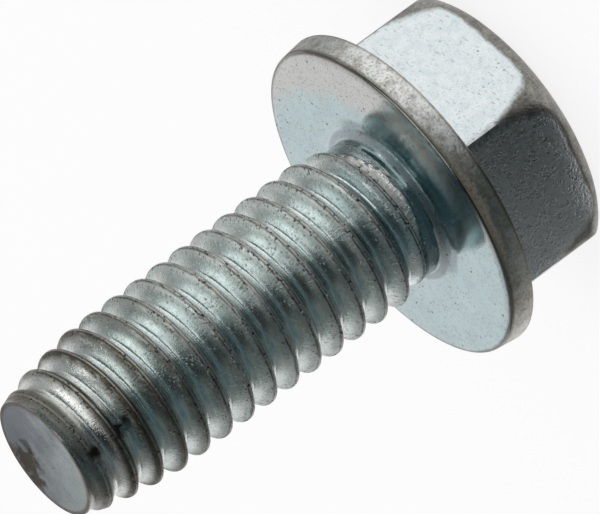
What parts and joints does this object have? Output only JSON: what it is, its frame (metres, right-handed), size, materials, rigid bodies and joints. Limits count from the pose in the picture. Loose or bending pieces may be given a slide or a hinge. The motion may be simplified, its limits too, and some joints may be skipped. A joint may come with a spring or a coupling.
{
  "type": "flanged self-tapping screw",
  "caption": "Zinc plated screw with a hex head, a washer flange, a short neck and a rolled right-hand thread with a tapered lead that forms its own thread.",
  "frame": {"origin": "centre of the head's flat top, on which the screw stands", "axes": "+Z along the screw's axis from the head to the end, +X square to a pair of hex flats, +Y through two hex corners"},
  "size_m": [0.0125, 0.0124, 0.0208],
  "materials": {
    "zinc_plate": "clear blue zinc plate, bright on the thread and mottled on the flange's rim"
  },
  "bodies": {
    "root": {"flange_screw": "zinc_plate"}
  },
  "joints": []
}
